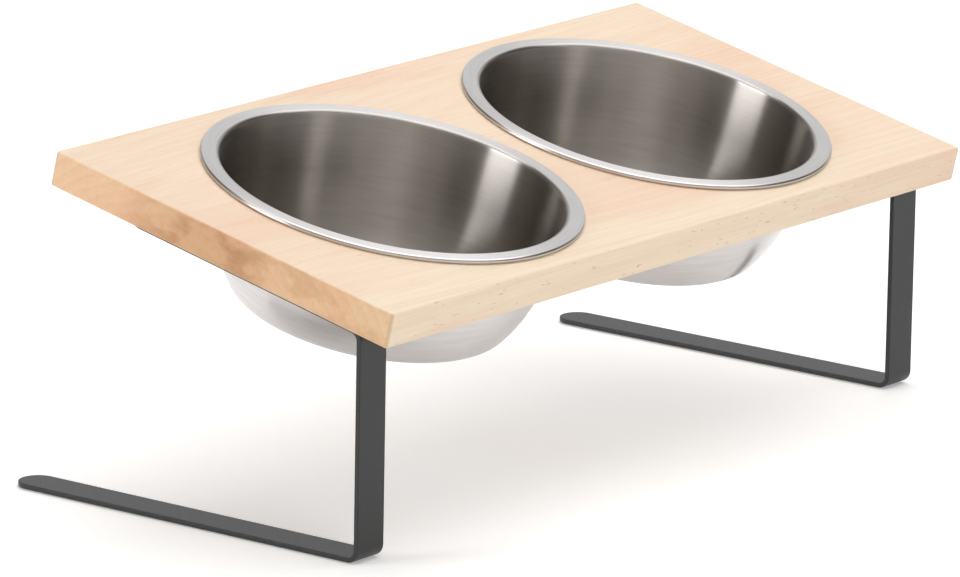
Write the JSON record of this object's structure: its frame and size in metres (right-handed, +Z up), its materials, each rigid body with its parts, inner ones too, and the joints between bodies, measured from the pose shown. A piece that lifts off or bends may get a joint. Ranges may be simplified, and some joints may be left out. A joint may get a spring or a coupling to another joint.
{
  "type": "elevated pet bowl",
  "caption": "Tilted wooden board on bent flat-bar steel legs, holding drawn steel feeding bowls that hang by their rims in round holes and lift out.",
  "frame": {"origin": "on the floor, at the centre of the bounding box's underside", "axes": "+X along the board towards the right bowl, +Y to the board's raised back, +Z up"},
  "size_m": [0.42, 0.2144, 0.1559],
  "materials": {
    "pale_wood": "planed pale wood, matt clear varnish",
    "bowl_steel": "satin stainless steel, brushed around the axis",
    "leg_coat": "dark grey satin powder coat on steel bar",
    "screw_zinc": "bright zinc plating",
    "pad_rubber": "matt black sheet rubber"
  },
  "bodies": {
    "stand": {"board": "pale_wood", "left_leg": "leg_coat", "right_leg": "leg_coat", "left_leg_screws": "screw_zinc", "right_leg_screws": "screw_zinc", "left_front_pad": "pad_rubber", "left_rear_pad": "pad_rubber", "right_front_pad": "pad_rubber", "right_rear_pad": "pad_rubber"},
    "left_bowl": {"left_bowl": "bowl_steel"},
    "right_bowl": {"right_bowl": "bowl_steel"}
  },
  "joints": [
    {"name": "left_bowl_lift", "type": "slide", "parent": "stand", "child": "left_bowl", "axis": [0, -0.2207, 0.9753], "range_m": [0, 0.09]},
    {"name": "right_bowl_lift", "type": "slide", "parent": "stand", "child": "right_bowl", "axis": [0, -0.2207, 0.9753], "range_m": [0, 0.09]}
  ]
}
